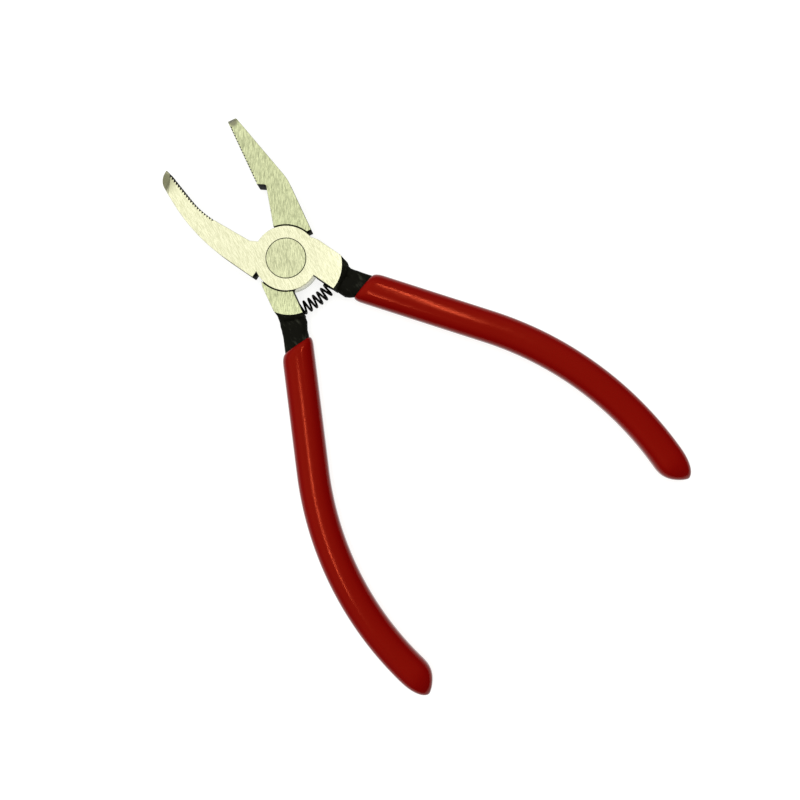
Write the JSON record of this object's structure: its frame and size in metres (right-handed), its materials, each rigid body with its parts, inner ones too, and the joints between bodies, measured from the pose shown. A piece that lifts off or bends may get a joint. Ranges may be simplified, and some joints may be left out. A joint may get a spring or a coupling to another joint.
{
  "type": "breaker-grozer pliers",
  "caption": "Stained-glass breaking and grozing pliers with one flat and one curved serrated jaw, a lap joint on a flush rivet, a coil return spring and dipped vinyl grips.",
  "frame": {"origin": "the pivot axis, on the plane of the joint's underside, which is the face the pliers lie on", "axes": "+Z along the pivot axis, out through the large flush rivet head; +Y from the pivot towards the jaws, along the line that halves the angle between the levers"},
  "size_m": [0.1241, 0.1921, 0.01],
  "materials": {
    "ground_steel": "linished, with black forged necks",
    "black_wire": "black oxide spring wire",
    "red_vinyl": "glossy dipped vinyl"
  },
  "bodies": {
    "flat_lever": {"flat_jaw_lever": "ground_steel", "pivot_rivet": "ground_steel", "flat_lever_grip": "red_vinyl", "return_spring": "black_wire"},
    "curved_lever": {"curved_jaw_lever": "ground_steel", "curved_lever_grip": "red_vinyl"}
  },
  "joints": [
    {"name": "jaw_pivot", "type": "hinge", "parent": "flat_lever", "child": "curved_lever", "pos_m": [0, 0, 0.005], "axis": [0, 0, 1], "range_deg": [-30.2, 12], "stiffness_Nm_per_rad": 1.2, "deforming": ["return_spring"]}
  ]
}
